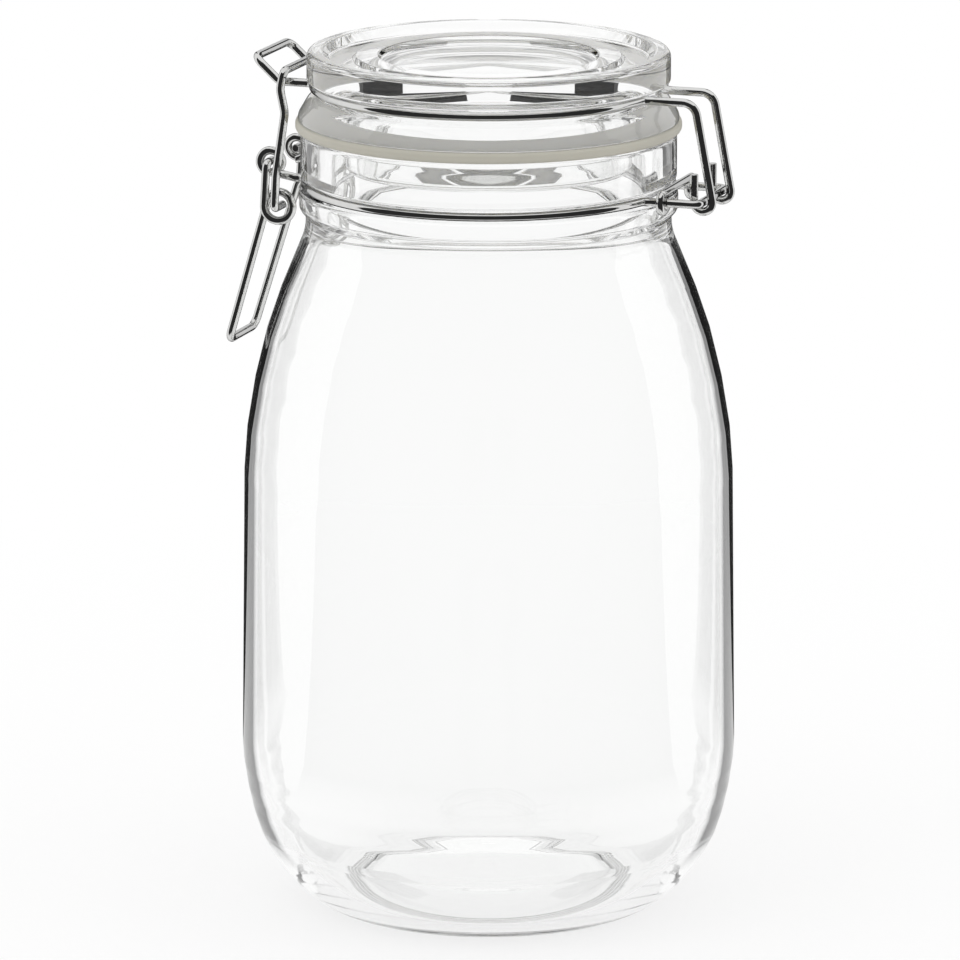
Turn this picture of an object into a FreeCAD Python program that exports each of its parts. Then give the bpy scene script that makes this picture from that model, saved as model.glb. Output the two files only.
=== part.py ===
import FreeCAD, Part
import math
import os

# Clip-top storage jar: a glass jar and glass lid with a rubber seal between them,
# held by bent-wire hinge and clasp hardware.  Millimetres, +Z up.  The origin is the
# centre of the base ring, the clasp faces -Y and the hinge is on +Y.

Vector = FreeCAD.Vector
X_AXIS = Vector(1, 0, 0)
Y_AXIS = Vector(0, 1, 0)
Z_AXIS = Vector(0, 0, 1)
TINY = 1e-6                  # closer points than this are one point

# ---- Jar ----------------------------------------------------------------------------
JAR_RIM_Z = 207.0
BELLY_R = 65.2               # widest outer radius, low on the wall
BELLY_Z = 31.5
WALL_TOP_R = 63.8            # outer radius where the wall meets the shoulder slope
SHOULDER_CORNER_Z = 141.8
SHOULDER_SLOPE = 22.5        # degrees from upright
HEEL_R = 56.1                # corner that the rounded heel is drawn round
HEEL_Z = 8.63
HEEL_ROUND = 38.0
BELLY_ROUND = 66.0
SHOULDER_ROUND = 130.0
NECK_ROUND = 12.0
WALL_THICKNESS = 3.5
INSIDE_TIGHTER = 4.0         # how much smaller the inside rounds are than the outside ones
NECK_R = 47.7
MOUTH_R = 41.0
FINISH_R = 49.0              # outer radius of the jar's lip
BEAD_R = 49.4
BEAD_Z = 188.5
BEAD_HEIGHT = 5.4
BASE_RING_R = 39.5           # centre of the ring that the jar stands on
PUNT_HEIGHT = 3.0            # hollow under the base
PUNT_EDGE_R = 24.0           # from here the hollow falls to the base ring
FLOOR_Z = 7.8                # glass floor inside, at the centre
FLOOR_DOME_R = 24.0          # the floor falls from its dome into a valley over the base ring
VALLEY_INNER_R = 34.5
VALLEY_OUTER_R = 42.2
VALLEY_Z = 4.5
INNER_HEEL_R = 53.1
INNER_HEEL_Z = 11.0

# ---- Lid ----------------------------------------------------------------------------
LID_TOP_Z = 228.0
LID_TOP_R = 47.3
LID_FLANGE_R = 49.6
LID_FLANGE_Z = 209.9         # underside, on the seal
PLUG_R = 38.2
PLUG_BOTTOM_Z = 197.5
RIM_INNER_R = 42.9
RECESS_R = 27.9              # inner edge of the ring raised in the sunk top
RING_R = 34.4                # outer edge of that ring
RING_HEIGHT = 1.2
RECESS_DEPTH = 2.6
CAVITY_R = 32.5
CAVITY_TOP_Z = 219.6

# ---- Seal ---------------------------------------------------------------------------
SEAL_OUTER_R = 50.3
SEAL_INNER_R = 38.9

# ---- Wire hardware ------------------------------------------------------------------
WIRE = 2.2                   # wire diameter
WIRE_END_ROUND = 0.3         # the cut ends are tumbled smooth
WIRE_GAP = 0.1               # air left where a wire lies in a groove or beside another
DRIFT = Vector(-(WIRE + WIRE_GAP) / 2, 0, 0)     # inward step of each half turn of a loop
NECK_WIRE_Z = 192.9
NECK_WIRE_R = 47.8           # centre line of the wire round the neck
LID_WIRE_Z = 218.5
LID_WIRE_R = 45.6            # centre line of the wire round the lid
OUTLET_BEND = 2.6            # where a wire turns out of its groove

HINGE_Y = 61.0               # hinge pin, part of the neck wire
HINGE_ARM_X = 12.0
HINGE_LEG_X = 8.0
HINGE_HOOK_R = WIRE + 0.25   # hook centre line round the pin
HINGE_STUB = 7.2             # free end of the hook, above the pin
HINGE_LEG_CORNER_Y = 58.6
TIE_Y = 51.4
TIE_LOOP_R = WIRE + 0.15

TAB_X = 12.6                 # half width of the lifting tab
TAB_BEND_Y = -53.3           # the tab starts to rise here
TAB_BAR_Y = -60.0
TAB_BAR_Z = 224.6

PIVOT_Y = -56.8              # the lever turns in the two eyes here
PIVOT_Z = 196.7
EYE_X = 11.0
EYE_R = 2.8                  # centre line of an eye
LEVER_ARM_X = EYE_X + WIRE + WIRE_GAP
LEVER_PIN_END_X = 8.4
COIL_Y = -53.8               # the bail's feet turn in the lever's coils here
COIL_Z = 185.2
COIL_R = 3.7
HANDLE_ANGLE = 17.2          # handle legs, degrees from upright
HANDLE_BOTTOM_Z = 148.0

BAIL_X = LEVER_ARM_X + WIRE + 0.2
BAIL_BAR_Y = -51.0
BAIL_BAR_Z = 221.8
BAIL_NOSE_Z = 217.0          # the legs lean out below the bar, then back over the tab
BAIL_WAIST_Z = 210.8
BAIL_KNEE_Z = 194.0          # they stand upright from here down to the feet
BAIL_FOOT_END_X = 9.2


# ---- Flat outlines and turned solids ------------------------------------------------
def rounded_corner(before, here, after, radius):
    """Start, arc and end of the bend where a line from before to after turns at here."""
    back = (before - here).normalize()
    ahead = (after - here).normalize()
    half = back.getAngle(ahead) / 2
    reach = radius / math.tan(half)
    start = here + back * reach
    middle = here + (back + ahead).normalize() * (radius / math.sin(half) - radius)
    end = here + ahead * reach
    return start, Part.Arc(start, middle, end).toShape(), end


def rounded_outline(corners):
    """Edges of a closed outline through (r, z, radius) corners, each rounded to its radius."""
    points = [Vector(r, 0, z) for r, z, _ in corners]
    bends = []
    for index, (_, _, radius) in enumerate(corners):
        here = points[index]
        following = points[(index + 1) % len(points)]
        if radius:
            bends.append(rounded_corner(points[index - 1], here, following, radius))
        else:
            bends.append((here, None, here))
    edges = []
    for index, (_, arc, end) in enumerate(bends):
        following = bends[(index + 1) % len(bends)][0]
        if arc:
            edges.append(arc)
        if end.distanceToPoint(following) > TINY:
            edges.append(Part.makeLine(end, following))
    return edges


def turned(corners):
    """A solid of revolution about Z from a closed outline of (r, z, radius) corners."""
    face = Part.Face(Part.Wire(rounded_outline(corners)))
    return face.revolve(Vector(), Z_AXIS, 360)


# ---- Bent wire ----------------------------------------------------------------------
def bent_line(corners):
    """Edges of a wire through (point, bend radius) corners; its two ends are not bent."""
    edges = []
    start = corners[0][0]
    for index in range(1, len(corners) - 1):
        here, radius = corners[index]
        before, after = corners[index - 1][0], corners[index + 1][0]
        bend_start, arc, bend_end = rounded_corner(before, here, after, radius)
        edges += [Part.makeLine(start, bend_start), arc]
        start = bend_end
    edges.append(Part.makeLine(start, corners[-1][0]))
    return edges


def half_turn(start, heading, across, share=1.0):
    """Arc that leaves start along heading and would come back at start + across.

    share is how much of the half turn is made.  Returns the edge and its end point
    and heading there.
    """
    radius = across.Length / 2
    centre = start + across / 2
    outward = Vector(across).normalize()
    ahead = Vector(heading).normalize()

    def at(angle):
        return centre - outward * (radius * math.cos(angle)) + ahead * (radius * math.sin(angle))

    end = math.pi * share
    edge = Part.Arc(start, at(end / 2), at(end)).toShape()
    return edge, at(end), outward * math.sin(end) + ahead * math.cos(end)


def outlet(ring_radius, exit_x, side):
    """Where a wire in a round groove turns out along Y at exit_x, on the +Y or -Y side.

    Returns the end of the groove, the middle of the bend and its end, seen from above.
    """
    centre_x = exit_x + OUTLET_BEND
    reach = ring_radius + OUTLET_BEND
    centre_y = side * math.sqrt(reach ** 2 - centre_x ** 2)
    centre = Vector(centre_x, centre_y, 0)
    on_ring = centre * (ring_radius / reach)
    on_line = Vector(exit_x, centre_y, 0)
    middle = (on_ring - centre).normalize() + (on_line - centre).normalize()
    return on_ring, centre + middle.normalize() * OUTLET_BEND, on_line


def groove_run(ring_radius, z, clasp_x, hinge_x):
    """Wire round one side (+X) of a groove, from its clasp outlet to its hinge outlet."""
    lift = Vector(0, 0, z)
    clasp_ring, clasp_middle, clasp_line = [p + lift for p in outlet(ring_radius, clasp_x, -1)]
    hinge_ring, hinge_middle, hinge_line = [p + lift for p in outlet(ring_radius, hinge_x, 1)]
    side = Vector(ring_radius, 0, z)
    edges = [
        Part.Arc(clasp_line, clasp_middle, clasp_ring).toShape(),
        Part.Arc(clasp_ring, side, hinge_ring).toShape(),
        Part.Arc(hinge_ring, hinge_middle, hinge_line).toShape(),
    ]
    return edges, clasp_line, hinge_line


def reverse(edge):
    """The same straight or round edge, run the other way."""
    first, last = edge.FirstParameter, edge.LastParameter
    start, end = edge.valueAt(last), edge.valueAt(first)
    return Part.Arc(start, edge.valueAt((first + last) / 2), end).toShape()


def tangent_point(start, centre, radius, side):
    """Point where a line from start touches a circle, all in the plane of start (Y and Z).

    side is +1 where the line passes the centre on its +Y side, and -1 on its -Y side.
    """
    gap = centre - start
    offset = math.acos(radius / gap.Length)
    towards = Vector(0, start.y - centre.y, start.z - centre.z).normalize()
    turn = -side * offset
    direction = Vector(0, towards.y * math.cos(turn) - towards.z * math.sin(turn),
                       towards.y * math.sin(turn) + towards.z * math.cos(turn))
    return centre + direction * radius


def piece_of_wire(edge):
    """Solid wire along one straight or round edge."""
    start = edge.valueAt(edge.FirstParameter)
    heading = edge.tangentAt(edge.FirstParameter)
    section = Part.Face(Part.Wire(Part.makeCircle(WIRE / 2, start, heading)))
    if edge.Curve.TypeId == "Part::GeomLine":
        return section.extrude(edge.valueAt(edge.LastParameter) - start)
    circle = edge.Curve
    sweep = math.degrees(edge.LastParameter - edge.FirstParameter)
    return section.revolve(circle.Center, circle.Axis, sweep)


def wire_solid(half_edges):
    """The whole bent wire from the edges of its +X half, which start on the plane X = 0."""
    pieces = [piece_of_wire(edge) for edge in half_edges]
    half = pieces[0].fuse(pieces[1:])
    whole = half.fuse(half.mirror(Vector(), X_AXIS)).removeSplitter().Solids[0]
    cut_ends = [face for face in whole.Faces if face.Surface.TypeId == "Part::GeomPlane"]
    return whole.makeFillet(WIRE_END_ROUND, [edge for face in cut_ends for edge in face.Edges])


# ---- The pieces ---------------------------------------------------------------------
def make_jar():
    """Blown jar: full belly, long shoulder, beaded neck with a wire groove, punted base."""
    slope = math.tan(math.radians(SHOULDER_SLOPE))
    inset = WALL_THICKNESS / math.cos(math.radians(SHOULDER_SLOPE))
    neck_corner_z = SHOULDER_CORNER_Z + (WALL_TOP_R - NECK_R) / slope
    inner_corner_z = SHOULDER_CORNER_Z + (WALL_TOP_R - inset - MOUTH_R) / slope
    groove_r = NECK_WIRE_R - WIRE / 2 - WIRE_GAP
    bead_low = BEAD_Z - BEAD_HEIGHT / 2
    bead_high = BEAD_Z + BEAD_HEIGHT / 2
    return turned([
        # underside: a domed punt inside the ring that the jar stands on
        (0.0, PUNT_HEIGHT, 0),
        (PUNT_EDGE_R, PUNT_HEIGHT - 0.3, 40.0),
        (BASE_RING_R - 1.8, 0.0, 2.5),
        (BASE_RING_R + 4.3, 0.0, 12.0),
        # heel, belly and wall
        (HEEL_R, HEEL_Z, HEEL_ROUND),
        (BELLY_R, BELLY_Z, BELLY_ROUND),
        (WALL_TOP_R, SHOULDER_CORNER_Z, SHOULDER_ROUND),
        # neck, bead, wire groove and lip
        (NECK_R, neck_corner_z, NECK_ROUND),
        (NECK_R, bead_low - 1.1, 0.8),
        (BEAD_R, bead_low + 0.9, 1.6),
        (BEAD_R, bead_high, 1.4),
        (groove_r, bead_high + 0.5, 0.5),
        (groove_r, NECK_WIRE_Z + 1.0, 0.6),
        (FINISH_R, NECK_WIRE_Z + 1.9, 0.8),
        (FINISH_R, JAR_RIM_Z, 1.5),
        # mouth and inside
        (MOUTH_R, JAR_RIM_Z, 1.8),
        (MOUTH_R, inner_corner_z, NECK_ROUND + 2.0),
        (WALL_TOP_R - WALL_THICKNESS, SHOULDER_CORNER_Z - 0.6, SHOULDER_ROUND - INSIDE_TIGHTER),
        (BELLY_R - WALL_THICKNESS, BELLY_Z + 1.5, BELLY_ROUND - INSIDE_TIGHTER),
        (INNER_HEEL_R, INNER_HEEL_Z, HEEL_ROUND - INSIDE_TIGHTER),
        (VALLEY_OUTER_R, VALLEY_Z, 8.0),
        (VALLEY_INNER_R, VALLEY_Z, 12.0),
        (FLOOR_DOME_R, FLOOR_Z - 0.5, 30.0),
        (0.0, FLOOR_Z, 0),
    ])


def make_lid():
    """Pressed lid: ringed top, groove for its wire, flange for the seal, hollow plug."""
    groove_r = LID_WIRE_R - WIRE / 2 - WIRE_GAP
    groove_top = LID_WIRE_Z + WIRE / 2 + WIRE_GAP
    recess_z = LID_TOP_Z - RECESS_DEPTH
    ring_z = recess_z + RING_HEIGHT
    return turned([
        # sunk top with a raised ring
        (0.0, recess_z, 0),
        (RECESS_R, recess_z, 0.5),
        (RECESS_R + 0.9, ring_z, 0.6),
        (RING_R, ring_z, 0.6),
        (RING_R + 1.0, recess_z, 0.6),
        (RIM_INNER_R - 1.6, recess_z, 1.5),
        (RIM_INNER_R + 0.6, LID_TOP_Z, 1.2),
        (LID_TOP_R, LID_TOP_Z, 1.8),
        # groove under the rim, then the flange that presses the seal
        (LID_TOP_R, groove_top, 1.0),
        (groove_r, groove_top, 0.5),
        (groove_r, LID_WIRE_Z - 1.6, 2.0),
        (LID_FLANGE_R, LID_WIRE_Z - 4.6, 1.6),
        (LID_FLANGE_R, LID_FLANGE_Z, 0.9),
        # plug and the hollow under it
        (PLUG_R, LID_FLANGE_Z, 0.8),
        (PLUG_R - 1.0, PLUG_BOTTOM_Z, 2.2),
        (CAVITY_R, PLUG_BOTTOM_Z, 1.8),
        (CAVITY_R - 2.0, CAVITY_TOP_Z - 1.0, 8.0),
        (0.0, CAVITY_TOP_Z, 0),
    ])


def make_gasket():
    """Flat rubber seal with a rounded outer edge, between the jar's lip and the lid."""
    return turned([
        (SEAL_INNER_R, JAR_RIM_Z, 0.4),
        (SEAL_OUTER_R, JAR_RIM_Z, 1.1),
        (SEAL_OUTER_R, LID_FLANGE_Z, 1.1),
        (SEAL_INNER_R, LID_FLANGE_Z, 0.4),
    ])


def make_lid_wire():
    """Wire round the lid: a rising lifting tab in front, two hooked legs at the hinge."""
    run, tab_root, leg_root = groove_run(LID_WIRE_R, LID_WIRE_Z, TAB_X, HINGE_LEG_X)
    tab = bent_line([
        (Vector(0, TAB_BAR_Y, TAB_BAR_Z), 0),
        (Vector(TAB_X, TAB_BAR_Y, TAB_BAR_Z), 2.6),
        (Vector(TAB_X, TAB_BEND_Y, LID_WIRE_Z), 3.5),
        (tab_root, 0),
    ])
    corner = Vector(HINGE_LEG_X, HINGE_LEG_CORNER_Y, LID_WIRE_Z)
    pin = Vector(HINGE_LEG_X, HINGE_Y, NECK_WIRE_Z)
    touch = tangent_point(corner, pin, HINGE_HOOK_R, 1)
    leg = bent_line([(leg_root, 0), (corner, 3.8), (touch, 0)])
    lean = math.degrees((touch - corner).getAngle(-Z_AXIS))
    hook, stub_root, _ = half_turn(touch, touch - corner, (pin - touch) * 2, 1 + lean / 180)
    stub = Part.makeLine(stub_root, stub_root + Z_AXIS * HINGE_STUB)
    return wire_solid(tab + run + leg + [hook, stub])


def make_neck_wire():
    """Wire round the neck: the hinge bracket and pin behind, two eyes for the lever."""
    run, arm_root, bracket_root = groove_run(NECK_WIRE_R, NECK_WIRE_Z, EYE_X, HINGE_ARM_X)
    bracket = bent_line([
        (Vector(0, HINGE_Y, NECK_WIRE_Z), 0),
        (Vector(HINGE_ARM_X, HINGE_Y, NECK_WIRE_Z), 2.4),
        (bracket_root, 0),
    ])
    eye_bottom = Vector(EYE_X, PIVOT_Y, PIVOT_Z - EYE_R)
    level = eye_bottom + Y_AXIS * 1.6
    arm = bent_line([
        (arm_root, 0),
        (Vector(EYE_X, arm_root.y - 0.9, NECK_WIRE_Z), 4.0),
        (level, 4.0),
        (eye_bottom, 0),
    ])
    # one turn back over the arm, each half drifting inward by half a wire
    over = Z_AXIS * (2 * EYE_R)
    rise, top, heading = half_turn(eye_bottom, -Y_AXIS, over + DRIFT)
    fall, _, _ = half_turn(top, heading, DRIFT - over)
    ring = [reverse(edge) for edge in reversed(run)]
    return wire_solid(bracket + ring + arm + [rise, fall])


def make_hinge_tie():
    """Short wire that draws the bracket's arms together, looped once round each."""
    loop_top = Vector(HINGE_ARM_X, TIE_Y, NECK_WIRE_Z + TIE_LOOP_R)
    loop_bottom = Vector(HINGE_ARM_X, TIE_Y, NECK_WIRE_Z - TIE_LOOP_R)
    bar = Part.makeLine(Vector(0, TIE_Y, loop_top.z), loop_top)
    outer, _, heading = half_turn(loop_top, X_AXIS, loop_bottom - loop_top)
    inner, _, _ = half_turn(loop_bottom, heading, loop_top - loop_bottom, 0.5)
    return wire_solid([bar, outer, inner])


def make_lever():
    """Locking lever: pins in the eyes, a coil on each side, and the pull-down handle."""
    pivot = Vector(LEVER_ARM_X, PIVOT_Y, PIVOT_Z)
    coil = Vector(LEVER_ARM_X, COIL_Y, COIL_Z)
    touch = tangent_point(pivot, coil, COIL_R, -1)
    down = (touch - pivot).normalize()
    arm = bent_line([
        (Vector(LEVER_PIN_END_X, PIVOT_Y, PIVOT_Z), 0),
        (pivot, 1.7),
        (touch, 0),
    ])
    # one turn of coil, drifting inward by one wire, that leaves along the handle leg
    arm_angle = math.degrees(math.atan2(-down.y, -down.z))
    across = (coil - touch) * 2
    under, inner_side, up = half_turn(touch, down, across + DRIFT)
    share = 1 - (HANDLE_ANGLE - arm_angle) / 180
    over, leaving, heading = half_turn(inner_side, up, DRIFT - across, share)
    corner = leaving + heading * ((HANDLE_BOTTOM_Z - leaving.z) / heading.z)
    handle = bent_line([(leaving, 0), (corner, 2.8), (Vector(0, corner.y, corner.z), 0)])
    return wire_solid(arm + [under, over] + handle)


def make_bail():
    """Clamping bail: a bar over the tab, two kinked legs, feet in the lever's coils."""
    foot = Vector(BAIL_X, COIL_Y, COIL_Z)
    return wire_solid(bent_line([
        (Vector(0, BAIL_BAR_Y, BAIL_BAR_Z), 0),
        (Vector(BAIL_X, BAIL_BAR_Y, BAIL_BAR_Z), 2.0),
        (Vector(BAIL_X, BAIL_BAR_Y - 1.0, BAIL_NOSE_Z), 6.0),
        (Vector(BAIL_X, BAIL_BAR_Y + 0.3, BAIL_WAIST_Z), 6.0),
        (Vector(BAIL_X, COIL_Y + 0.5, BAIL_KNEE_Z), 14.0),
        (foot, 1.4),
        (Vector(BAIL_FOOT_END_X, COIL_Y, COIL_Z), 0),
    ]))


PIECES = {
    "jar": make_jar,
    "lid": make_lid,
    "gasket": make_gasket,
    "neck_wire": make_neck_wire,
    "hinge_tie": make_hinge_tie,
    "lid_wire": make_lid_wire,
    "lever": make_lever,
    "bail": make_bail,
}


def main():
    os.makedirs("parts", exist_ok=True)
    for name, make in PIECES.items():
        make().exportStep(os.path.join("parts", name + ".step"))


main()
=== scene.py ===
"""Looks of a clip-top storage jar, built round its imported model.

The jar, the lid and the seal are turned afresh as smooth closed meshes.  The wire hardware
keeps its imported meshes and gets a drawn-steel finish.  Lengths are metres, the origin is
the centre of the ring that the jar stands on, the clasp faces -Y and the hinge is on +Y.
"""

import logging
import math
from dataclasses import dataclass
from enum import Enum, IntEnum
from typing import Any, Sequence, Union

import bmesh
import bpy
from mathutils import Matrix, Vector


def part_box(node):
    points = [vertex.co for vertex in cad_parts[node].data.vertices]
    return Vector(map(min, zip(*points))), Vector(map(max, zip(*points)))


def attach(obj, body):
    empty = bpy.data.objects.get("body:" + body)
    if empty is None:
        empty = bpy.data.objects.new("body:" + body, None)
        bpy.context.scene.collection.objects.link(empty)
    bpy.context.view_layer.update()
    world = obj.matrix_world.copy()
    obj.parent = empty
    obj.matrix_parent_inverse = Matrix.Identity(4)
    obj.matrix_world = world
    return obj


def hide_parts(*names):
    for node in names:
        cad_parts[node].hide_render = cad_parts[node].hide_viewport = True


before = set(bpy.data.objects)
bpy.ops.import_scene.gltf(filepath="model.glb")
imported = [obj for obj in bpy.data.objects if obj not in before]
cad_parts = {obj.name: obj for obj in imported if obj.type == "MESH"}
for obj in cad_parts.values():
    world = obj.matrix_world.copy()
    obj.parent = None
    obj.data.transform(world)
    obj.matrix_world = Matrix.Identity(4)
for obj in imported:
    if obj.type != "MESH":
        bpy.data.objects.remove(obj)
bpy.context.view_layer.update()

LOG = logging.getLogger("clip_top_jar")
MM = 0.001
BOUNCES = 32                          # enough for light to pass the lid and both walls
BOUNCED = 0.5                         # lies between a ray's counts of 0 and of 1
MIX_LOW, MIX_HIGH, MIX_RESULT = 6, 7, 2   # the Mix node's sockets for colours
Triple = tuple[float, float, float]
Colour = Triple
Rgba = tuple[float, float, float, float]


class Body(Enum):
    """The moving bodies that new pieces ride on."""

    JAR = "jar"
    LID = "lid"


class Finish(Enum):
    """The record's finishes."""

    GLASS = "glass"
    SEAL = "seal"


class JarSkin(IntEnum):
    """The jar's materials, in order."""

    OUTSIDE = 0
    INSIDE = 1
    # the dots' middles, in glass painted nearly black as shade
    PAINTED_SHADE_DOTS = 2


class SealSkin(IntEnum):
    """The seal's materials, in order."""

    # outside the flange: the rubber painted darker, as shade
    FREE_PAINTED_SHADE = 0
    # under the glass: the same rubber painted paler, as painted light
    PRESSED_PAINTED_LIGHT = 1


# ---- Shader graphs ------------------------------------------------------------------
class Value:
    """A node's output socket, with Python's arithmetic for numbers."""

    def __init__(self, graph: "Graph", socket: bpy.types.NodeSocket) -> None:
        """Keeps the socket and the graph that it belongs to."""
        self.graph = graph
        self.socket = socket

    def _math(self, operation: str, *operands: "Number") -> "Value":
        """Adds a Math node.

        Args:
            operation: The Math node's operation.
            operands: Its inputs, in order.

        Returns:
            The node's result.
        """
        inputs = dict(enumerate(operands))
        return self.graph.node("ShaderNodeMath", {"operation": operation}, inputs)

    def _vector_math(self, operation: str, *operands: Union["Value", Vector]) -> "Value":
        """Adds a Vector Math node.

        Args:
            operation: An operation whose result is a number.
            operands: Its inputs, in order.

        Returns:
            The node's result.
        """
        inputs = dict(enumerate(operands))
        return self.graph.node("ShaderNodeVectorMath", {"operation": operation}, inputs, "Value")

    def __add__(self, other: "Number") -> "Value":
        """self + other."""
        return self._math("ADD", self, other)

    __radd__ = __add__

    def __sub__(self, other: "Number") -> "Value":
        """self - other."""
        return self._math("SUBTRACT", self, other)

    def __rsub__(self, other: "Number") -> "Value":
        """other - self."""
        return self._math("SUBTRACT", other, self)

    def __mul__(self, other: "Number") -> "Value":
        """self * other."""
        return self._math("MULTIPLY", self, other)

    __rmul__ = __mul__

    def __truediv__(self, other: "Number") -> "Value":
        """self / other."""
        return self._math("DIVIDE", self, other)

    def under(self, limit: "Number") -> "Value":
        """1 where self is under limit, and 0 elsewhere."""
        return self._math("LESS_THAN", self, limit)

    def over(self, limit: "Number") -> "Value":
        """1 where self is over limit, and 0 elsewhere."""
        return self._math("GREATER_THAN", self, limit)

    def most(self, other: "Number") -> "Value":
        """The larger of self and other."""
        return self._math("MAXIMUM", self, other)

    def ramp(self, start: float, end: float) -> "Value":
        """Rises evenly from 0 at start to 1 at end, and stays there."""
        limits = {"Value": self, "From Min": start, "From Max": end}
        return self.graph.node("ShaderNodeMapRange", {"clamp": True}, limits)

    def length(self) -> "Value":
        """The length of a vector."""
        return self._vector_math("LENGTH", self)

    def dot(self, direction: Vector) -> "Value":
        """The dot product of a vector and a fixed direction."""
        return self._vector_math("DOT_PRODUCT", self, direction)


Number = Union[Value, float, int]


class Graph:
    """The node tree of one material or world, emptied and built up by calls."""

    def __init__(self, owner: Union[bpy.types.Material, bpy.types.World]) -> None:
        """Empties the owner's node tree.

        Args:
            owner: The material or world.
        """
        self.owner = owner
        owner.use_nodes = True
        self.tree = owner.node_tree
        self.tree.nodes.clear()

    def _add(self, kind: str, settings: dict[str, Any],
             inputs: dict[Union[str, int], Any]) -> bpy.types.Node:
        """Adds one node.

        Args:
            kind: The node's type.
            settings: Its own settings, which are set first.
            inputs: A constant, or a Value to link, for each input socket.

        Returns:
            The node.
        """
        made = self.tree.nodes.new(kind)
        for name, value in settings.items():
            setattr(made, name, value)
        for key, value in inputs.items():
            if isinstance(value, Value):
                self.tree.links.new(value.socket, made.inputs[key])
            else:
                made.inputs[key].default_value = value
        return made

    def node(self, kind: str, settings: dict[str, Any], inputs: dict[Union[str, int], Any],
             output: Union[str, int] = 0) -> Value:
        """Adds one node and picks one of its outputs.

        Args:
            kind: The node's type.
            settings: Its own settings, which are set first.
            inputs: A constant, or a Value to link, for each input socket.
            output: The output socket that is wanted.

        Returns:
            That output.
        """
        return Value(self, self._add(kind, settings, inputs).outputs[output])

    def place(self) -> Value:
        """The point on the surface, in the object's own coordinates."""
        return self.node("ShaderNodeTexCoord", {}, {}, "Object")

    def facing(self) -> Value:
        """0 where the surface is seen face on, and 1 where it is seen edge on."""
        return self.node("ShaderNodeLayerWeight", {}, {}, "Facing")

    def ray(self, what: str) -> Value:
        """One of the facts that Light Path knows about the ray."""
        return self.node("ShaderNodeLightPath", {}, {}, what)

    def noise(self, scale: float, detail: float = 2.0, stretch: Triple = (1, 1, 1)) -> Value:
        """Smooth noise over the surface.

        Args:
            scale: Features for each metre.
            detail: How many finer octaves are added.
            stretch: How many times finer the noise is along each axis.

        Returns:
            A number from 0 to 1.
        """
        where = self.node("ShaderNodeMapping", {}, {"Vector": self.place(), "Scale": stretch})
        inputs = {"Vector": where, "Scale": scale, "Detail": detail}
        return self.node("ShaderNodeTexNoise", {}, inputs)

    def blend(self, share: Number, low: Union[Value, Rgba], high: Union[Value, Rgba]) -> Value:
        """A colour between low and high.

        Args:
            share: 0 for low, and 1 for high.
            low: A colour or a Value that holds one.
            high: The same.

        Returns:
            The mixed colour.
        """
        colours = {"Factor": share, MIX_LOW: low, MIX_HIGH: high}
        return self.node("ShaderNodeMix", {"data_type": "RGBA"}, colours, MIX_RESULT)

    def bump(self, height: Value, depth: float) -> Value:
        """A normal bent by a height field.

        Args:
            height: The height, from 0 to 1.
            depth: The real height of 1, in metres.

        Returns:
            The normal.
        """
        inputs = {"Height": height, "Distance": depth, "Strength": 1.0}
        return self.node("ShaderNodeBump", {}, inputs)

    def emission(self, colour: Colour) -> Value:
        """A shader that glows in a colour, where a white of 1 is the surroundings' white."""
        return self.node("ShaderNodeEmission", {}, {"Color": opaque(colour), "Strength": 1.0})

    def layer(self, share: Value, under: Value, over: Value) -> Value:
        """One shader over another.

        Args:
            share: 0 for the shader under it, and 1 for the shader over it.
            under: The first shader.
            over: The second shader.

        Returns:
            The mixed shader.
        """
        return self.node("ShaderNodeMixShader", {}, {0: share, 1: under, 2: over})

    def finish(self, surface: Value) -> None:
        """Links a shader to the output of the material or the world.

        Args:
            surface: The shader.
        """
        kind = "World" if isinstance(self.owner, bpy.types.World) else "Material"
        self._add(f"ShaderNodeOutput{kind}", {}, {"Surface": surface})


def opaque(colour: Colour) -> Rgba:
    """The colour with an alpha of 1."""
    return (*colour, 1.0)


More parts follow.
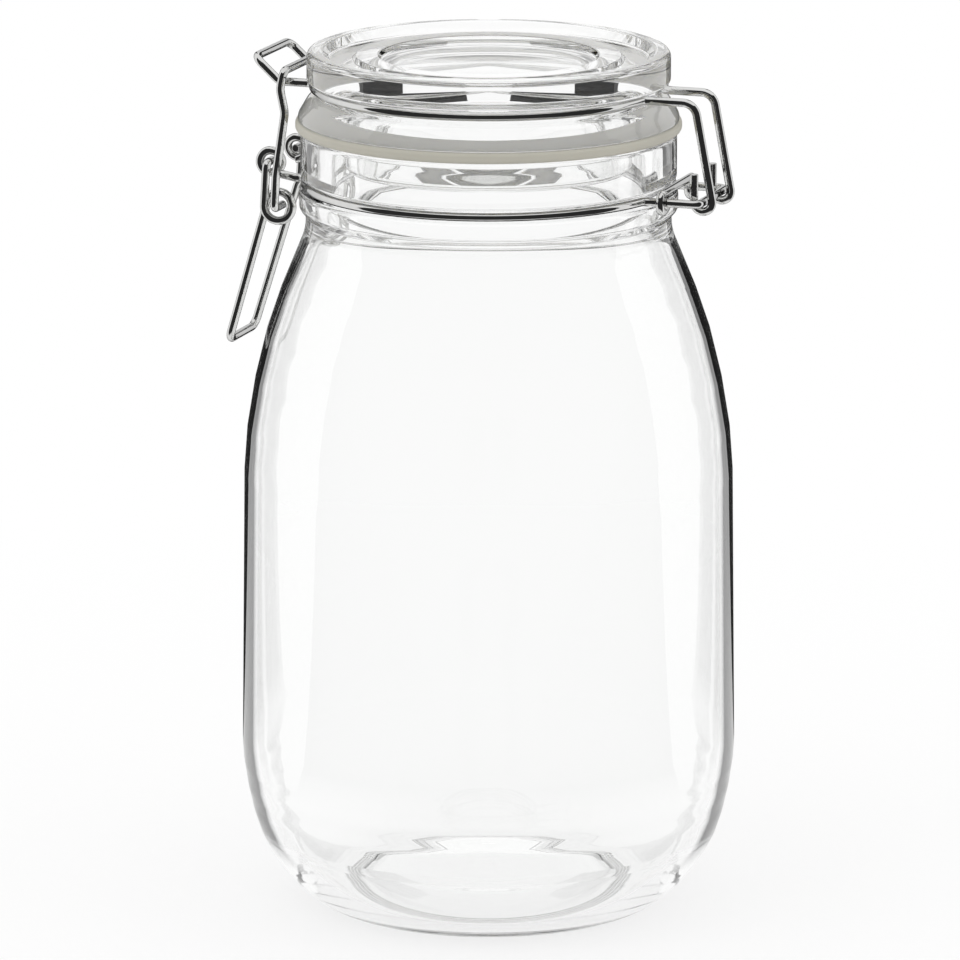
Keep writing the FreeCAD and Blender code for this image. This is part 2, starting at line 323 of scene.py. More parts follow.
# ---- Finishes -----------------------------------------------------------------------
@dataclass(frozen=True)
class ClearGlass:
    """Pressed or blown clear glass, whose side may get a painted dark reflection where it is seen
    edge on.
    """

    name: str
    painted_dark_low: float = 0.0             # the painted dark reflection on the side lies between these heights
    painted_dark_high: float = 0.0
    blur: float = 8.0 * MM            # how far the painted dark reflection takes to set in
    body: Colour = (0.997, 0.999, 0.997)
    # colour of the painted dark reflection where the glass is seen edge on
    edge: Colour = (0.02, 0.02, 0.02)
    painted_dark_starts: float = 0.67         # 0 is seen face on, and 1 edge on
    painted_dark_full: float = 0.73
    index: float = 1.5
    waves: float = 16.0               # ripples for each metre
    wave_detail: float = 1.0
    wave_depth: float = 0.01 * MM
    smears: float = 64.0              # smears for each metre
    smear_detail: float = 3.0
    haze: float = 0.012               # roughness where a smear is strongest

    def material(self) -> bpy.types.Material:
        """Builds the glass.

        Returns:
            The new material.
        """
        made = bpy.data.materials.new(self.name)
        graph = Graph(made)
        waves = graph.noise(self.waves, self.wave_detail)
        smears = graph.noise(self.smears, self.smear_detail)
        graph.finish(graph.node("ShaderNodeBsdfPrincipled", {}, {
            "Base Color": self._tint_and_paint_dark_edge(graph),
            "Roughness": smears * self.haze,
            "IOR": self.index,
            "Transmission Weight": 1.0,
            "Normal": graph.bump(waves, self.wave_depth),
        }))
        return made

    def _tint_and_paint_dark_edge(self, graph: Graph) -> Union[Value, Rgba]:
        """Paints a dark reflection on the side where it is seen edge on.

        Args:
            graph: The graph to add the nodes to.

        Returns:
            The glass's colour, with the painted dark reflection.
        """
        body = opaque(self.body)
        if self.painted_dark_high <= self.painted_dark_low:
            return body
        height = graph.node("ShaderNodeSeparateXYZ", {}, {"Vector": graph.place()}, "Z")
        side = height.ramp(self.painted_dark_low - self.blur, self.painted_dark_low)
        side = side * (1 - height.ramp(self.painted_dark_high, self.painted_dark_high + self.blur))
        # painted dark reflection where the glass is seen edge on
        painted_dark_share = graph.facing().ramp(self.painted_dark_starts, self.painted_dark_full)
        return graph.blend(painted_dark_share * side, body, opaque(self.edge))


@dataclass(frozen=True)
class DrawnSteel:
    """Bright steel wire with the fine marks that drawing and bending leave, and painted shade
    along its edges.
    """

    name: str = "drawn_steel"
    bright: Colour = (0.76, 0.76, 0.75)
    dull: Colour = (0.60, 0.60, 0.59)
    # colour of the painted shade where the wire is seen edge on
    edge: Colour = (0.16, 0.16, 0.16)
    painted_dark_starts: float = 0.45         # 0 is seen face on, and 1 edge on
    painted_dark_full: float = 0.95
    polish: float = 0.03
    wear: float = 0.10
    patches: float = 240.0            # dull patches for each metre
    patch_detail: float = 3.0
    scratches: float = 2600.0         # scratches for each metre
    scratch_stretch: Triple = (1.0, 1.0, 0.12)
    scratch_depth: float = 0.004 * MM

    def material(self) -> bpy.types.Material:
        """Builds the steel.

        Returns:
            The new material.
        """
        made = bpy.data.materials.new(self.name)
        graph = Graph(made)
        patches = graph.noise(self.patches, self.patch_detail)
        scratches = graph.noise(self.scratches, stretch=self.scratch_stretch)
        metal = graph.blend(patches, opaque(self.bright), opaque(self.dull))
        # painted shade where the wire is seen edge on
        painted_dark_share = graph.facing().ramp(self.painted_dark_starts, self.painted_dark_full)
        graph.finish(graph.node("ShaderNodeBsdfPrincipled", {}, {
            "Base Color": graph.blend(painted_dark_share, metal, opaque(self.edge)),
            "Metallic": 1.0,
            "Roughness": self.polish + self.wear * patches * scratches,
            "Normal": graph.bump(scratches, self.scratch_depth),
        }))
        return made


@dataclass(frozen=True)
class SealRubber:
    """Off-white rubber, a little translucent, with a fine moulded grain."""

    name: str
    pale: Colour
    grey: Colour
    gloss: float                      # 0 where the rubber is pressed on to glass
    roughness: float = 0.42
    clouds: float = 90.0              # paler clouds for each metre
    cloud_detail: float = 3.0
    grain: float = 2200.0             # grains for each metre
    grain_roughness: float = 0.12
    grain_depth: float = 0.02 * MM
    translucence: float = 0.25
    glow_spread: Triple = (1.0, 0.95, 0.8)   # of red, green and blue
    glow_depth: float = 1.5 * MM

    def material(self) -> bpy.types.Material:
        """Builds the rubber.

        Returns:
            The new material.
        """
        made = bpy.data.materials.new(self.name)
        graph = Graph(made)
        clouds = graph.noise(self.clouds, self.cloud_detail)
        grain = graph.noise(self.grain)
        graph.finish(graph.node("ShaderNodeBsdfPrincipled", {}, {
            "Base Color": graph.blend(clouds, opaque(self.pale), opaque(self.grey)),
            "Roughness": self.roughness + self.grain_roughness * grain,
            "Specular IOR Level": self.gloss,
            "Normal": graph.bump(grain, self.grain_depth),
            "Subsurface Weight": self.translucence,
            "Subsurface Radius": self.glow_spread,
            "Subsurface Scale": self.glow_depth,
        }))
        return made


# ---- Turned pieces ------------------------------------------------------------------
@dataclass(frozen=True)
class Corner:
    """A corner of a turned outline: distance from the axis, height and rounding."""

    r: float
    z: float
    rounding: float = 0.0

    def point(self) -> Vector:
        """The corner on the half plane y = 0."""
        return Vector((self.r, 0.0, self.z))


@dataclass(frozen=True)
class Lathe:
    """Turns an outline about the vertical axis into a smooth closed mesh."""

    steps: int = 352
    turn_for_each_edge: float = math.radians(7.0)
    longest_edge: float = 3.0 * MM
    tolerance: float = 0.001 * MM

    def turn(self, corners: Sequence[Corner], closed: bool) -> bmesh.types.BMesh:
        """Turns an outline.

        Args:
            corners: The outline, with the ends on the axis unless it is closed.
            closed: Whether the last corner joins the first, as on a ring.

        Returns:
            A closed mesh with faces that point outwards.
        """
        bm = bmesh.new()
        self._draw(bm, corners, closed)
        self._round(bm, corners, closed)
        self._divide(bm)
        bmesh.ops.spin(bm, geom=bm.verts[:] + bm.edges[:], cent=(0, 0, 0), axis=(0, 0, 1),
                       angle=2 * math.pi, steps=self.steps, use_merge=True)
        bmesh.ops.remove_doubles(bm, verts=bm.verts[:], dist=self.tolerance)
        bmesh.ops.recalc_face_normals(bm, faces=bm.faces[:])
        return bm

    @staticmethod
    def _draw(bm: bmesh.types.BMesh, corners: Sequence[Corner], closed: bool) -> None:
        """Lays the sharp outline down as edges.

        Args:
            bm: An empty mesh.
            corners: The outline.
            closed: Whether the last corner joins the first.
        """
        verts = [bm.verts.new(corner.point()) for corner in corners]
        ahead = verts[1:] + verts[:1] if closed else verts[1:]
        for pair in zip(verts, ahead):
            bm.edges.new(pair)

    def _round(self, bm: bmesh.types.BMesh, corners: Sequence[Corner], closed: bool) -> None:
        """Bevels each corner of the outline to its rounding.

        Args:
            bm: The outline, with its corners' vertices in order.
            corners: The same corners.
            closed: Whether the last corner joins the first.
        """
        count = len(corners)
        verts = bm.verts[:]
        for index, corner in enumerate(corners):
            if corner.rounding == 0 or (not closed and index in (0, count - 1)):
                continue
            here = corner.point()
            back = corners[index - 1].point() - here
            on = corners[(index + 1) % count].point() - here
            bend = math.pi - back.angle(on)
            bmesh.ops.bevel(bm, geom=[verts[index]], offset=corner.rounding * math.tan(bend / 2),
                            offset_type="OFFSET", affect="VERTICES", profile=0.5, material=-1,
                            segments=max(2, math.ceil(bend / self.turn_for_each_edge)))

    def _divide(self, bm: bmesh.types.BMesh) -> None:
        """Divides long edges, so that the smooth shading stays true.

        Args:
            bm: The rounded outline.
        """
        while True:
            long = [edge for edge in bm.edges if edge.calc_length() > self.longest_edge]
            if not long:
                return
            bmesh.ops.subdivide_edges(bm, edges=long, cuts=1)


def finished(name: str, bm: bmesh.types.BMesh) -> bpy.types.Object:
    """Turns a bmesh into a smooth object at the origin.

    Args:
        name: The object's name.
        bm: Its mesh, which is freed.

    Returns:
        The object, in the scene.
    """
    mesh = bpy.data.meshes.new(name)
    bm.to_mesh(mesh)
    bm.free()
    mesh.shade_smooth()
    made = bpy.data.objects.new(name, mesh)
    bpy.context.scene.collection.objects.link(made)
    return made


def dress(piece: bpy.types.Object, *materials: bpy.types.Material) -> None:
    """Gives a piece its materials.

    Args:
        piece: The piece.  Clearing a mesh's materials also resets the numbers that its faces
            hold, so a new mesh, which has no materials yet, isn't cleared.
        materials: One material for each of those numbers.
    """
    if piece.data.materials:
        piece.data.materials.clear()
    for material in materials:
        piece.data.materials.append(material)


def fit(piece: bpy.types.Object, body: Body, node: str) -> bpy.types.Object:
    """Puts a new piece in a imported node's place.

    Args:
        piece: The new piece.
        body: The body that it moves with.
        node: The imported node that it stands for.

    Returns:
        The piece.
    """
    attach(piece, body.value)
    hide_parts(node)
    return piece


# ---- Glass --------------------------------------------------------------------------
@dataclass(frozen=True)
class Knurl:
    """Rows of small dots under the base, on which the jar stands, with painted shade in their
    middles.
    """

    inner_row_r: float = 35.6 * MM
    row_gap: float = 1.0 * MM
    rows: int = 4
    steps_in_gap: int = 4
    dot_r: float = 0.36 * MM
    depth: float = 0.28 * MM
    cuts: int = 3                     # of each lathe step, so that a dot has a round outline
    painted_shade_over: float = 0.5            # share of the depth over which a dot gets painted shade
    tolerance: float = 0.01 * MM

    def inner_r(self) -> float:
        """Inner radius of the strip that holds the dots."""
        return self.inner_row_r - self.row_gap / 2

    def outer_r(self) -> float:
        """Outer radius of the strip that holds the dots."""
        return self.inner_row_r + self.row_gap * (self.rows - 1) + self.row_gap / 2

    def corners(self) -> list[Corner]:
        """The strip's part of the jar's outline.

        Returns:
            Its corners, one small step after another.
        """
        step = self.row_gap / self.steps_in_gap
        count = self.steps_in_gap * self.rows
        return [Corner(self.inner_r() + step * index, self.depth) for index in range(count + 1)]

    def press(self, bm: bmesh.types.BMesh, lathe_steps: int) -> None:
        """Draws the dots down out of the strip, and gives their middles painted shade.

        Args:
            bm: The turned jar.
            lathe_steps: How many steps it was turned in, which is one dot each.
        """
        hoops = [edge for edge in bm.edges if self._is_hoop(edge)]
        bmesh.ops.subdivide_edges(bm, edges=hoops, cuts=self.cuts, use_grid_fill=True)
        for face in bm.faces:
            if all(self._in_strip(vert) for vert in face.verts):
                # painted shade in the middle of each dot
                dark = self._dot(face.calc_center_median(), lathe_steps) > self.painted_shade_over
                face.material_index = JarSkin.PAINTED_SHADE_DOTS if dark else JarSkin.INSIDE
        for vert in bm.verts:
            if self._in_strip(vert):
                vert.co.z -= self.depth * self._dot(vert.co, lathe_steps)

    def _in_strip(self, vert: bmesh.types.BMVert) -> bool:
        """Whether a vertex lies on the strip.

        Args:
            vert: The vertex.

        Returns:
            True or False.
        """
        low, high = self.inner_r() - self.tolerance, self.outer_r() + self.tolerance
        return vert.co.z < self.depth + self.tolerance and low < vert.co.xy.length < high

    def _is_hoop(self, edge: bmesh.types.BMEdge) -> bool:
        """Whether an edge of the strip runs round the axis.

        Args:
            edge: The edge.

        Returns:
            True or False.
        """
        start, end = edge.verts
        level = abs(start.co.xy.length - end.co.xy.length) < self.tolerance
        return level and self._in_strip(start) and self._in_strip(end)

    def _dot(self, spot: Vector, lathe_steps: int) -> float:
        """How far a dot stands out at a spot.

        Args:
            spot: The place on the strip.
            lathe_steps: The number of dots in a row.

        Returns:
            1 at the middle of a dot, and 0 between the dots.
        """
        radius = spot.xy.length
        row = round((radius - self.inner_row_r) / self.row_gap)
        row_r = self.inner_row_r + self.row_gap * min(max(row, 0), self.rows - 1)
        turn = math.atan2(spot.y, spot.x) / (2 * math.pi) * lathe_steps + (row % 2) / 2
        along = (turn - round(turn)) * 2 * math.pi * radius / lathe_steps
        away = math.hypot(radius - row_r, along) / self.dot_r
        return max(0.0, 1.0 - away * away)


@dataclass(frozen=True)
class JarGlass:
    """The blown jar, from its hollow base to its lip."""

    lathe: Lathe = Lathe()
    knurl: Knurl = Knurl()
    # the outside gets a painted dark reflection where it is seen edge on, between these heights
    outside: ClearGlass = ClearGlass("jar_outside", painted_dark_low=22.0 * MM, painted_dark_high=172.0 * MM)
    inside: ClearGlass = ClearGlass("jar_inside")
    # nearly black glass for the dots' middles: painted shade
    dots: ClearGlass = ClearGlass("jar_dots_painted_shade", body=(0.02, 0.02, 0.02))
    wall: float = 3.5 * MM
    inside_tighter: float = 4.0 * MM  # how much smaller the inside's large rounds are
    # The hollow base and the ring that the jar stands on
    punt: float = 3.0 * MM
    punt_edge_r: float = 24.0 * MM
    punt_fall: float = 0.3 * MM
    punt_round: float = 40.0 * MM
    ring_outer_r: float = 43.8 * MM
    ring_round: float = 12.0 * MM
    # Heel, belly and shoulder
    heel_r: float = 56.1 * MM
    heel_z: float = 8.63 * MM
    heel_round: float = 38.0 * MM
    belly_r: float = 65.2 * MM
    belly_z: float = 31.5 * MM
    belly_round: float = 66.0 * MM
    wall_top_r: float = 63.8 * MM
    wall_top_z: float = 141.8 * MM
    slope: float = math.radians(22.5)
    shoulder_round: float = 130.0 * MM
    # Neck, bead and wire groove
    neck_r: float = 47.7 * MM
    neck_round: float = 12.0 * MM
    bead_r: float = 49.4 * MM
    bead_z: float = 188.5 * MM
    bead_height: float = 5.4 * MM
    bead_foot_drop: float = 1.1 * MM
    bead_foot_round: float = 0.8 * MM
    bead_low_rise: float = 0.9 * MM
    bead_low_round: float = 1.6 * MM
    bead_high_round: float = 1.4 * MM
    groove_r: float = 46.6 * MM
    groove_rise: float = 0.5 * MM
    groove_low_round: float = 0.5 * MM
    groove_top: float = 193.9 * MM
    groove_top_round: float = 0.6 * MM
    # Lip and mouth
    lip_r: float = 49.0 * MM
    lip_rise: float = 0.9 * MM
    lip_low_round: float = 0.8 * MM
    lip_round: float = 1.5 * MM
    mouth_r: float = 41.0 * MM
    mouth_round: float = 1.8 * MM
    # Inside
    inner_neck_round: float = 14.0 * MM
    inner_wall_drop: float = 0.6 * MM
    inner_belly_rise: float = 1.5 * MM
    inner_heel_r: float = 53.1 * MM
    inner_heel_z: float = 11.0 * MM
    valley_z: float = 4.5 * MM
    valley_outer_r: float = 42.2 * MM
    valley_outer_round: float = 8.0 * MM
    valley_inner_r: float = 34.5 * MM
    valley_inner_round: float = 12.0 * MM
    floor_z: float = 7.8 * MM
    floor_fall: float = 0.5 * MM
    floor_round: float = 30.0 * MM

    def build(self) -> bpy.types.Object:
        """Makes the jar.

        Returns:
            The piece, on the jar's body.
        """
        _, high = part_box("jar")
        corners = self._outer_corners(high.z) + self._inner_corners(high.z)
        bm = self.lathe.turn(corners, closed=False)
        self._mark_inside(bm)
        self.knurl.press(bm, self.lathe.steps)
        piece = finished("jar_glass", bm)
        dress(piece, self.outside.material(), self.inside.material(), self.dots.material())
        return fit(piece, Body.JAR, "jar")

    def _outer_corners(self, top: float) -> list[Corner]:
        """Works out the jar's outline outside.

        Args:
            top: The height of the jar's lip.

        Returns:
            Its corners, from the middle of the underside to the top of the lip.
        """
        neck_z = self.wall_top_z + (self.wall_top_r - self.neck_r) / math.tan(self.slope)
        bead_low = self.bead_z - self.bead_height / 2
        bead_high = self.bead_z + self.bead_height / 2
        return [
            Corner(0.0, self.punt),
            Corner(self.punt_edge_r, self.punt - self.punt_fall, self.punt_round),
            *self.knurl.corners(),
            Corner(self.ring_outer_r, self.knurl.depth, self.ring_round),
            Corner(self.heel_r, self.heel_z, self.heel_round),
            Corner(self.belly_r, self.belly_z, self.belly_round),
            Corner(self.wall_top_r, self.wall_top_z, self.shoulder_round),
            Corner(self.neck_r, neck_z, self.neck_round),
            Corner(self.neck_r, bead_low - self.bead_foot_drop, self.bead_foot_round),
            Corner(self.bead_r, bead_low + self.bead_low_rise, self.bead_low_round),
            Corner(self.bead_r, bead_high, self.bead_high_round),
            Corner(self.groove_r, bead_high + self.groove_rise, self.groove_low_round),
            Corner(self.groove_r, self.groove_top, self.groove_top_round),
            Corner(self.lip_r, self.groove_top + self.lip_rise, self.lip_low_round),
            Corner(self.lip_r, top, self.lip_round),
        ]

    def _inner_corners(self, top: float) -> list[Corner]:
        """Works out the jar's outline inside.

        Args:
            top: The height of the jar's lip.

        Returns:
            Its corners, from the mouth to the middle of the floor.
        """
        inset = self.wall / math.cos(self.slope)
        run = self.wall_top_r - inset - self.mouth_r
        neck_z = self.wall_top_z + run / math.tan(self.slope)
        tighter = self.inside_tighter
        return [
            Corner(self.mouth_r, top, self.mouth_round),
            Corner(self.mouth_r, neck_z, self.inner_neck_round),
            Corner(self.wall_top_r - self.wall, self.wall_top_z - self.inner_wall_drop,
                   self.shoulder_round - tighter),
            Corner(self.belly_r - self.wall, self.belly_z + self.inner_belly_rise,
                   self.belly_round - tighter),
            Corner(self.inner_heel_r, self.inner_heel_z, self.heel_round - tighter),
            Corner(self.valley_outer_r, self.valley_z, self.valley_outer_round),
            Corner(self.valley_inner_r, self.valley_z, self.valley_inner_round),
            Corner(self.punt_edge_r, self.floor_z - self.floor_fall, self.floor_round),
            Corner(0.0, self.floor_z),
        ]

    @staticmethod
    def _mark_inside(bm: bmesh.types.BMesh) -> None:
        """Marks the faces that look towards the axis.

        Args:
            bm: The turned jar.
        """
        for face in bm.faces:
            if face.normal.xy.dot(face.calc_center_median().xy) < 0:
                face.material_index = JarSkin.INSIDE


@dataclass(frozen=True)
class LidGlass:
    """The pressed lid: ringed top, groove for its wire, flange and hollow plug."""

    lathe: Lathe = Lathe()
    glass: ClearGlass = ClearGlass("lid_clear")
    # The top's recess, with a raised ring in it, and its rim
    recess_r: float = 27.9 * MM
    recess_depth: float = 2.6 * MM
    recess_round: float = 0.5 * MM
    ring_r: float = 34.4 * MM
    ring_height: float = 1.2 * MM
    ring_round: float = 0.6 * MM
    ring_inner_slope: float = 0.9 * MM
    ring_outer_slope: float = 1.0 * MM
    rim_inner_r: float = 42.9 * MM
    rim_foot: float = 1.6 * MM
    rim_foot_round: float = 1.5 * MM
    rim_slope: float = 0.6 * MM
    rim_inner_round: float = 1.2 * MM
    top_r: float = 47.3 * MM
    top_round: float = 1.8 * MM
    top_low_round: float = 1.0 * MM
    # Wire groove and flange
    groove_r: float = 44.4 * MM
    groove_top: float = 219.7 * MM
    groove_top_round: float = 0.5 * MM
    groove_low: float = 216.9 * MM
    groove_low_round: float = 1.5 * MM
    flange_shoulder_r: float = 46.9 * MM
    flange_shoulder_z: float = 215.6 * MM
    flange_shoulder_round: float = 4.0 * MM
    flange_r: float = 49.6 * MM
    flange_edge_z: float = 211.0 * MM
    flange_edge_round: float = 2.5 * MM
    flange_low_round: float = 0.3 * MM
    # Plug and the hollow under it
    plug_r: float = 38.2 * MM
    plug_top_round: float = 0.8 * MM
    plug_taper: float = 1.0 * MM
    plug_low_round: float = 2.2 * MM
    cavity_r: float = 32.5 * MM
    cavity_low_round: float = 1.8 * MM
    cavity_taper: float = 2.0 * MM
    cavity_top_z: float = 219.6 * MM
    cavity_top_fall: float = 1.0 * MM
    cavity_top_round: float = 8.0 * MM

    def build(self) -> bpy.types.Object:
        """Makes the lid.

        Returns:
            The piece, on the lid's body.
        """
        piece = finished("lid_glass", self.lathe.turn(self._corners(), closed=False))
        dress(piece, self.glass.material())
        return fit(piece, Body.LID, "lid")

    def _corners(self) -> list[Corner]:
        """Works out the lid's outline.

        Returns:
            Its corners, from the top's centre round to the hollow under it.
        """
        low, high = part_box("lid")
        _, seal_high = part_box("gasket")
        recess_z = high.z - self.recess_depth
        ring_z = recess_z + self.ring_height
        return [
            Corner(0.0, recess_z),
            Corner(self.recess_r, recess_z, self.recess_round),
            Corner(self.recess_r + self.ring_inner_slope, ring_z, self.ring_round),
            Corner(self.ring_r, ring_z, self.ring_round),
            Corner(self.ring_r + self.ring_outer_slope, recess_z, self.ring_round),
            Corner(self.rim_inner_r - self.rim_foot, recess_z, self.rim_foot_round),
            Corner(self.rim_inner_r + self.rim_slope, high.z, self.rim_inner_round),
            Corner(self.top_r, high.z, self.top_round),
            Corner(self.top_r, self.groove_top, self.top_low_round),
            Corner(self.groove_r, self.groove_top, self.groove_top_round),
            Corner(self.groove_r, self.groove_low, self.groove_low_round),
            Corner(self.flange_shoulder_r, self.flange_shoulder_z, self.flange_shoulder_round),
            Corner(self.flange_r, self.flange_edge_z, self.flange_edge_round),
            Corner(self.flange_r, seal_high.z, self.flange_low_round),
            Corner(self.plug_r, seal_high.z, self.plug_top_round),
            Corner(self.plug_r - self.plug_taper, low.z, self.plug_low_round),
            Corner(self.cavity_r, low.z, self.cavity_low_round),
            Corner(self.cavity_r - self.cavity_taper, self.cavity_top_z - self.cavity_top_fall,
                   self.cavity_top_round),
            Corner(0.0, self.cavity_top_z),
        ]


# ---- Seal and wire ------------------------------------------------------------------
@dataclass(frozen=True)
class Seal:
    """The rubber ring between the lip and the lid, pressed a little into both."""

    lathe: Lathe = Lathe()
    # One rubber in two copies: the free outside is painted darker as shade
    free: SealRubber = SealRubber("seal_rubber_painted_shade", pale=(0.50, 0.485, 0.42),
                                  grey=(0.44, 0.425, 0.365), gloss=0.5)
    # and the part under the glass is painted paler as light
    pressed: SealRubber = SealRubber("seal_pressed_painted_light", pale=(0.97, 0.96, 0.91),
                                     grey=(0.95, 0.94, 0.89), gloss=0.0)
    inner_r: float = 38.9 * MM
    inner_round: float = 0.4 * MM
    outer_round: float = 1.1 * MM
    lip_r: float = 47.3 * MM          # the lip presses on it up to here
    flange_r: float = 48.5 * MM       # and the lid's flange up to here
    reach: float = 0.15 * MM
    step: float = 0.3 * MM

    def build(self) -> bpy.types.Object:
        """Makes the seal.

        Returns:
            The piece, on the lid's body.
        """
        bm = self.lathe.turn(self._corners(), closed=True)
        # faces under the glass get the rubber painted paler as light, the rest the rubber painted
        # darker as shade
        for face in bm.faces:
            if face.calc_center_median().xy.length < self.flange_r:
                face.material_index = SealSkin.PRESSED_PAINTED_LIGHT
        piece = finished("seal", bm)
        dress(piece, self.free.material(), self.pressed.material())
        return fit(piece, Body.LID, "gasket")

    def _corners(self) -> list[Corner]:
        """Works out the seal's outline.

        Returns:
            Its corners, from the inside along the bottom and back along the top.
        """
        low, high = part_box("gasket")
        return [
            Corner(self.inner_r, low.z - self.reach, self.inner_round),
            Corner(self.lip_r - self.step, low.z - self.reach),
            Corner(self.lip_r, low.z),
            Corner(high.x, low.z, self.outer_round),
            Corner(high.x, high.z, self.outer_round),
            Corner(self.flange_r, high.z),
            Corner(self.flange_r - self.step, high.z + self.reach),
            Corner(self.inner_r, high.z + self.reach, self.inner_round),
        ]


@dataclass(frozen=True)
class WireHardware:
    """The bent-wire hinge and clasp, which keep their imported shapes."""

    finish: DrawnSteel = DrawnSteel()
    nodes: tuple[str, ...] = ("neck_wire", "hinge_tie", "lid_wire", "lever", "bail")

    def build(self) -> list[bpy.types.Object]:
        """Dresses the wires.

        Returns:
            Their objects.
        """
        steel = self.finish.material()
        wires = [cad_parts[name] for name in self.nodes]
        for wire in wires:
            dress(wire, steel)
        return wires


# ---- Studio -------------------------------------------------------------------------
@dataclass(frozen=True)
class Lamp:
    """A large soft square lamp, placed as the camera sees the jar."""

    name: str
    right: float
    toward: float                     # towards the camera
    height: float
    size: float
    power: float                      # watts


@dataclass(frozen=True)
class Studio:
    """White floor and surroundings, soft lamps, dark cloth for reflections, the camera."""

    azimuth: float = math.radians(109.0)
    distance: float = 1.958
    camera_height: float = 0.5727
    aim_height: float = 0.1131
    aim_side: float = -2.26 * MM
    lens: float = 286.9
    lamps: tuple[Lamp, ...] = (Lamp("key", -1.1, 0.8, 1.9, 1.2, 6.0),
                               Lamp("fill", 1.4, 0.6, 1.2, 1.0, 3.0))
    ambient: float = 0.90
    white: Colour = (1.0, 1.0, 1.0)
    paint: Colour = (0.95, 0.95, 0.95)
    floor_r: float = 14.0
    floor_steps: int = 128
    glow: float = 0.8                 # share of plain white in the floor beside the jar
    shadow_r: float = 0.10
    shadow_end_r: float = 0.45
    # Dark cloth hangs in front and at both sides, and dark mats lie on the floor.  Angles
    # are turned from the camera's direction.
    cloth: Colour = (0.03, 0.03, 0.03)
    cloth_steps: int = 48
    cloth_height: float = 1.2
    cloth_r: float = 0.9
    side_cloth_r: float = 0.7
    mat_r: float = 0.14
    mat_full_r: float = 0.22
    side_mat_r: float = 0.12
    side_mat_full_r: float = 0.20
    front_to: float = math.radians(84.0)
    side_from: float = math.radians(150.0)
    side_to: float = math.radians(163.0)
    side_mat_to: float = math.radians(176.0)

    def toward(self) -> Vector:
        """Level direction from the jar to the camera."""
        return Vector((math.sin(self.azimuth), -math.cos(self.azimuth), 0.0))

    def right(self) -> Vector:
        """Level direction to the camera's right."""
        return Vector((math.cos(self.azimuth), math.sin(self.azimuth), 0.0))

    def build(self) -> None:
        """Makes the whole studio."""
        self._world()
        self._floor()
        self._cloth("cloth_front", -self.front_to, self.front_to, self.cloth_r, True)
        self._cloth("cloth_left", self.side_from, self.side_to, self.side_cloth_r, False)
        self._cloth("cloth_right", -self.side_to, -self.side_from, self.side_cloth_r, False)
        for lamp in self.lamps:
            self._hang(lamp)
        self._camera()

    def _seen(self, graph: Graph) -> Value:
        """Tells what the eye sees directly, in a reflection or through glass.

        Args:
            graph: The graph to add the nodes to.

        Returns:
            1 for what the eye sees, and 0 for light that falls on a dull surface.
        """
        seen = graph.ray("Is Camera Ray").most(graph.ray("Is Glossy Ray"))
        return seen.most(graph.ray("Is Transmission Ray")) * self._unscattered(graph)

    @staticmethod
    def _unscattered(graph: Graph) -> Value:
        """1 until a dull surface has scattered the light, and 0 after it."""
        return graph.ray("Diffuse Depth").under(BOUNCED)

    def _mirrored(self, graph: Graph, direct: bool) -> Value:
        """Tells what a reflection shows.

        Args:
            graph: The graph to add the nodes to.
            direct: Whether reflections inside glass are left out.

        Returns:
            1 in a reflection, and 0 elsewhere.
        """
        mirrored = graph.ray("Glossy Depth").over(BOUNCED)
        if direct:
            mirrored = mirrored * graph.ray("Transmission Depth").under(BOUNCED)
        return mirrored * self._unscattered(graph)

    def _world(self) -> None:
        """White surroundings that light the jar at a plain level."""
        world = bpy.data.worlds.new("studio")
        bpy.context.scene.world = world
        graph = Graph(world)
        seen = self._seen(graph)
        strength = seen + (1 - seen) * self.ambient
        background = {"Color": opaque(self.white), "Strength": strength}
        graph.finish(graph.node("ShaderNodeBackground", {}, background))

    def _floor(self) -> None:
        """Round white floor that fades into the surroundings."""
        bm = bmesh.new()
        bmesh.ops.create_circle(bm, cap_ends=True, segments=self.floor_steps, radius=self.floor_r)
        floor = finished("floor", bm)
        material = bpy.data.materials.new("floor_paint")
        graph = Graph(material)
        place = graph.place()
        away = place.length()
        glow = self.glow + (1 - self.glow) * away.ramp(self.shadow_r, self.shadow_end_r)
        paint = graph.node("ShaderNodeBsdfDiffuse", {}, {"Color": opaque(self.paint)})
        white = graph.layer(glow * self._seen(graph), paint, graph.emission(self.white))
        mats = self._mats(graph, place, away)
        graph.finish(graph.layer(mats, white, graph.emission(self.cloth)))
        dress(floor, material)

    def _mats(self, graph: Graph, place: Value, away: Value) -> Value:
        """Lays the dark mats, which only reflections show.

        Args:
            graph: The floor's graph.
            place: The spot on the floor.
            away: Its distance from the jar's axis.

        Returns:
            1 on a mat, and 0 elsewhere.
        """
        heading = place.dot(self.toward()) / away
        front = heading.over(math.cos(self.front_to))
        front = front * away.ramp(self.mat_r, self.mat_full_r)
        side = heading.under(math.cos(self.side_from)) * heading.over(math.cos(self.side_mat_to))
        side = side * away.ramp(self.side_mat_r, self.side_mat_full_r)
        return self._mirrored(graph, True) * front + self._mirrored(graph, False) * side

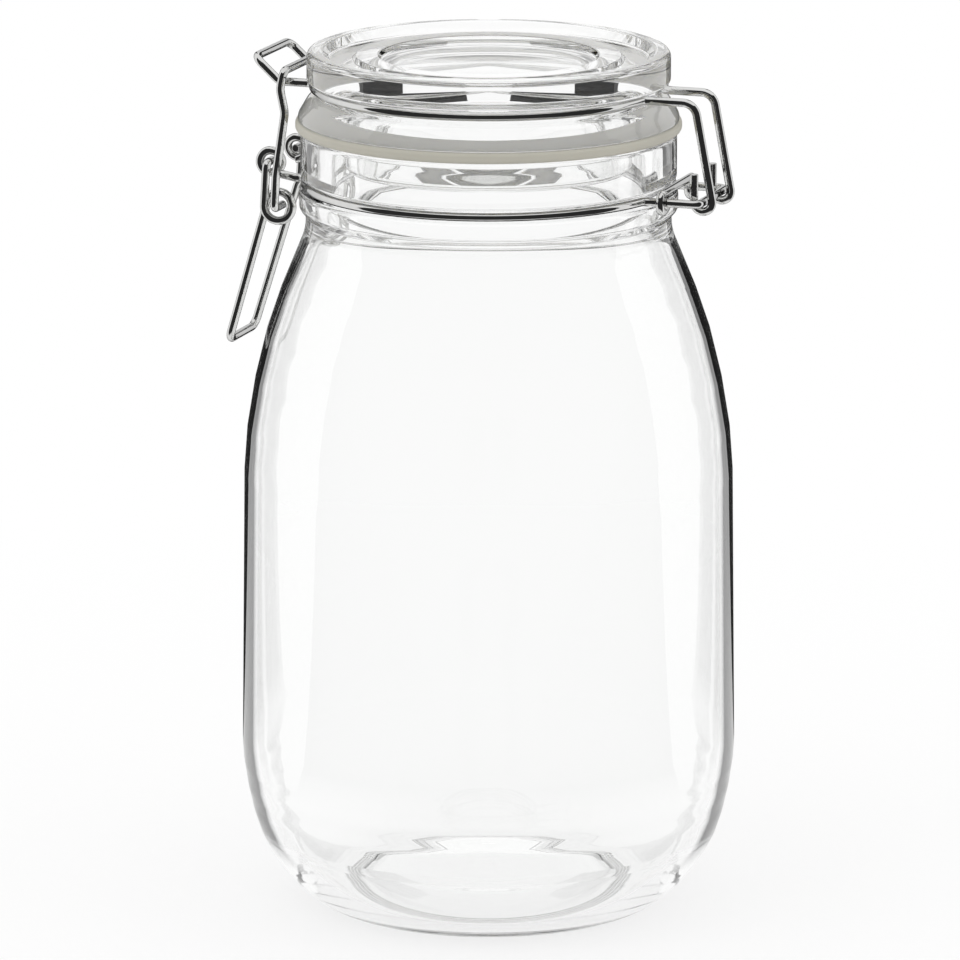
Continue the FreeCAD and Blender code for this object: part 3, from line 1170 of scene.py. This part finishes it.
    def _cloth(self, name: str, start: float, end: float, radius: float, direct: bool) -> None:
        """Hangs one curved dark cloth, which only reflections show.

        Args:
            name: Its name.
            start: The angle from the camera's direction to one upright edge.
            end: The angle to the other edge.
            radius: Its distance from the jar's axis.
            direct: Whether reflections inside glass leave it out.
        """
        bm = bmesh.new()
        foot = self.toward() * radius
        foot.rotate(Matrix.Rotation(start, 3, "Z"))
        low = bm.verts.new(foot)
        high = bm.verts.new(foot + Vector((0, 0, self.cloth_height)))
        bm.edges.new((low, high))
        bmesh.ops.spin(bm, geom=bm.verts[:] + bm.edges[:], cent=(0, 0, 0), axis=(0, 0, 1),
                       angle=end - start, steps=self.cloth_steps)
        cloth = finished(name, bm)
        cloth.visible_camera = False
        cloth.visible_diffuse = False
        cloth.visible_shadow = False
        material = bpy.data.materials.new(name)
        graph = Graph(material)
        clear = graph.node("ShaderNodeBsdfTransparent", {}, {})
        dark = graph.emission(self.cloth)
        graph.finish(graph.layer(self._mirrored(graph, direct), clear, dark))
        dress(cloth, material)

    def _hang(self, lamp: Lamp) -> None:
        """Adds one lamp, which faces the jar and shows in no glass.

        Args:
            lamp: The lamp.
        """
        spot = self.right() * lamp.right + self.toward() * lamp.toward
        spot = spot + Vector((0, 0, lamp.height))
        light = bpy.data.lights.new(lamp.name, "AREA")
        light.size = lamp.size
        light.energy = lamp.power
        made = bpy.data.objects.new(lamp.name, light)
        made.location = spot
        down = Vector((0, 0, self.aim_height)) - spot
        made.rotation_euler = down.to_track_quat("-Z", "Y").to_euler()
        made.visible_glossy = False
        made.visible_transmission = False
        bpy.context.scene.collection.objects.link(made)

    def _camera(self) -> None:
        """Long-lens camera, a little above the jar."""
        data = bpy.data.cameras.new("camera")
        data.lens = self.lens
        camera = bpy.data.objects.new("camera", data)
        camera.location = self.toward() * self.distance + Vector((0, 0, self.camera_height))
        aim = self.right() * self.aim_side + Vector((0, 0, self.aim_height))
        camera.rotation_euler = (aim - camera.location).to_track_quat("-Z", "Y").to_euler()
        bpy.context.scene.collection.objects.link(camera)
        bpy.context.scene.camera = camera


def set_view() -> None:
    """Plain colours, and enough bounces for clear glass."""
    scene = bpy.context.scene
    scene.view_settings.view_transform = "Standard"
    scene.cycles.max_bounces = BOUNCES
    scene.cycles.transmission_bounces = BOUNCES
    scene.cycles.glossy_bounces = BOUNCES


def main() -> None:
    """Builds every piece in order."""
    logging.basicConfig(level=logging.INFO, format="%(name)s: %(message)s")
    set_view()
    pieces = [JarGlass().build(), LidGlass().build(), Seal().build(), *WireHardware().build()]
    for piece in pieces:
        LOG.info("%s: %d faces", piece.name, len(piece.data.polygons))
    Studio().build()


if __name__ == "__main__":
    main()
